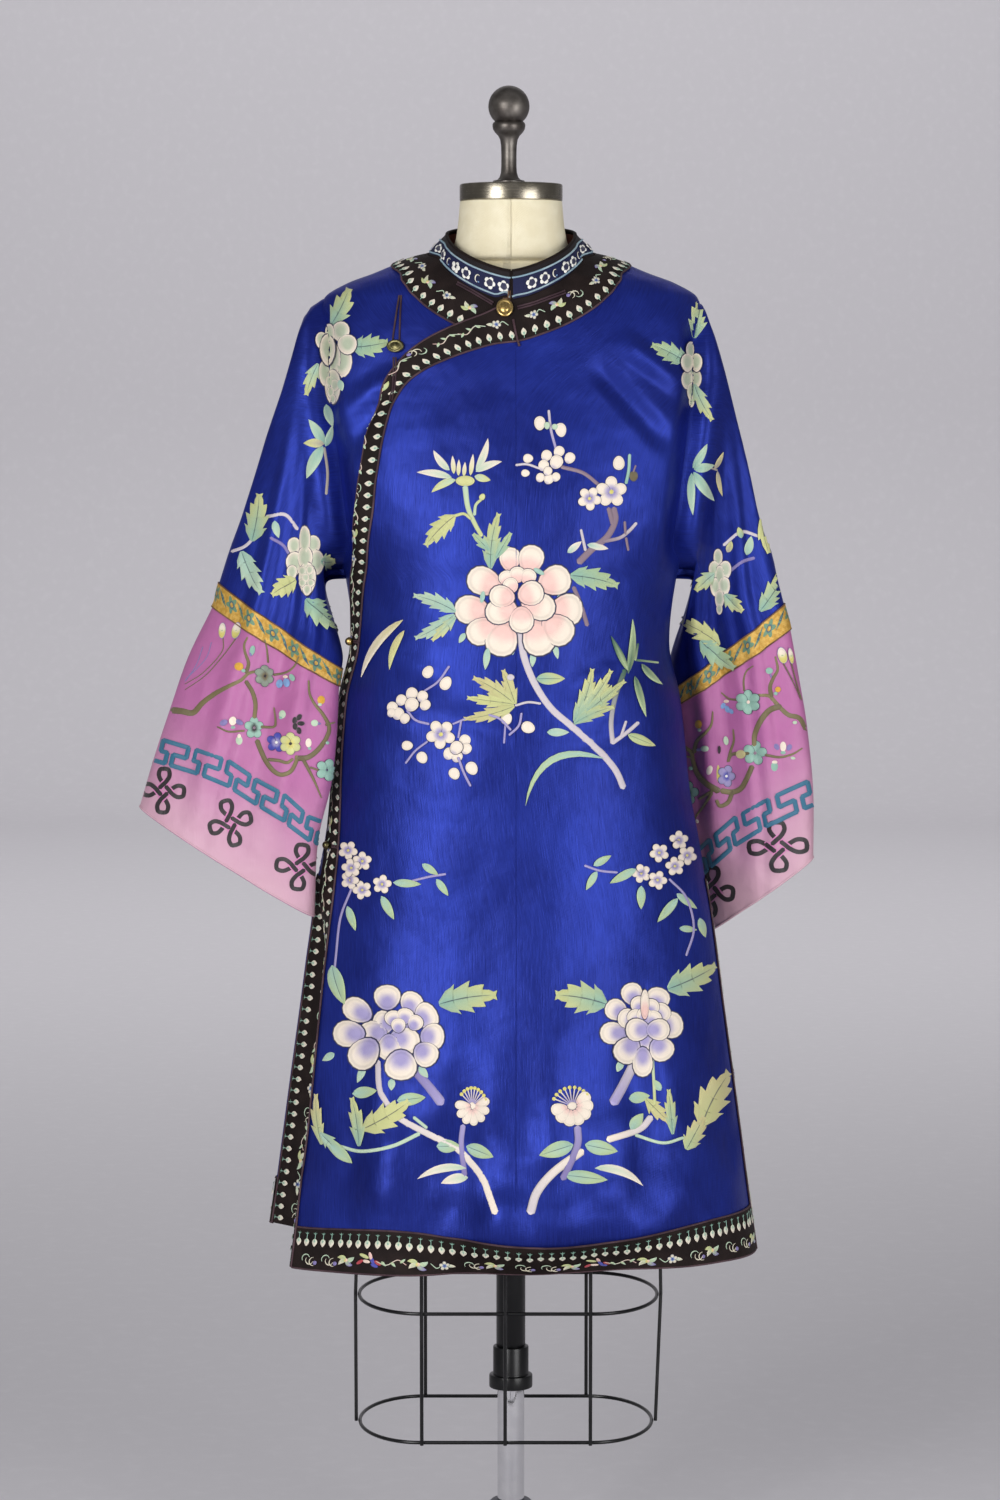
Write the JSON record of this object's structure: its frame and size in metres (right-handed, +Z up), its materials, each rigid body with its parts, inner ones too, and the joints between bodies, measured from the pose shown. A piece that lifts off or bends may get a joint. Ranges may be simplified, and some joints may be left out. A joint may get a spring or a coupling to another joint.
{
  "type": "chinese robe on a dress form with stand",
  "caption": "Side-closing satin robe with wide sleeves, pink cuffs and dark embroidered trims, worn by a limbless dress form with a wire cage on a pole stand with a round base.",
  "frame": {"origin": "centre of the underside of the round base, where it meets the floor", "axes": "+Z up the pole; the robe faces -Y, so the wearer's right is at -X"},
  "size_m": [0.7442, 0.41, 1.666],
  "materials": {
    "blue_satin": "glossy royal blue satin",
    "pink_satin": "satin, pink at the top and paler at the hem",
    "gold_ribbon": "golden yellow woven ribbon",
    "black_trim": "black satin with embroidery and piping",
    "navy_collar": "navy band with pale outlines and cords",
    "dark_cord": "thin brown cord",
    "gilt": "chased gilt",
    "bronze": "dark bronze",
    "cream_linen": "cream linen cover",
    "steel_cap": "brushed",
    "dark_knob": "turned and dark",
    "black_paint": "semi-gloss black",
    "chrome_pole": "mirror bright"
  },
  "bodies": {
    "root": {"outer_front": "blue_satin", "inner_front": "blue_satin", "back": "blue_satin", "sleeve_left": "blue_satin", "sleeve_right": "blue_satin", "cuff_left": "pink_satin", "cuff_right": "pink_satin", "ribbon_left": "gold_ribbon", "ribbon_right": "gold_ribbon", "yoke_left": "black_trim", "yoke_right": "black_trim", "yoke_back": "black_trim", "lapel_trim": "black_trim", "front_hem_trim": "black_trim", "front_vent_trim_left": "black_trim", "back_vent_trim_left": "black_trim", "back_vent_trim_right": "black_trim", "back_hem_trim": "black_trim", "collar": "navy_collar", "chest_loop": "dark_cord", "chest_tail": "dark_cord", "neck_frog_right": "dark_cord", "neck_frog_left": "dark_cord", "side_loop": "dark_cord", "vent_loop": "dark_cord", "neck_button": "gilt", "side_button": "gilt", "chest_button": "bronze", "vent_button": "bronze", "form_torso": "cream_linen", "neck_cap": "steel_cap", "neck_knob": "dark_knob", "cage_ring_upper": "black_paint", "cage_ring_lower": "black_paint", "cage_wire_front_1": "black_paint", "cage_wire_front_2": "black_paint", "cage_wire_front_3": "black_paint", "cage_wire_back_1": "black_paint", "cage_wire_back_2": "black_paint", "cage_wire_back_3": "black_paint", "cage_wire_right": "black_paint", "cage_wire_left": "black_paint", "pole_sleeve": "black_paint", "pole_collar": "black_paint", "pole_chrome": "chrome_pole", "base_hub": "black_paint", "base_disc": "black_paint"}
  },
  "joints": []
}
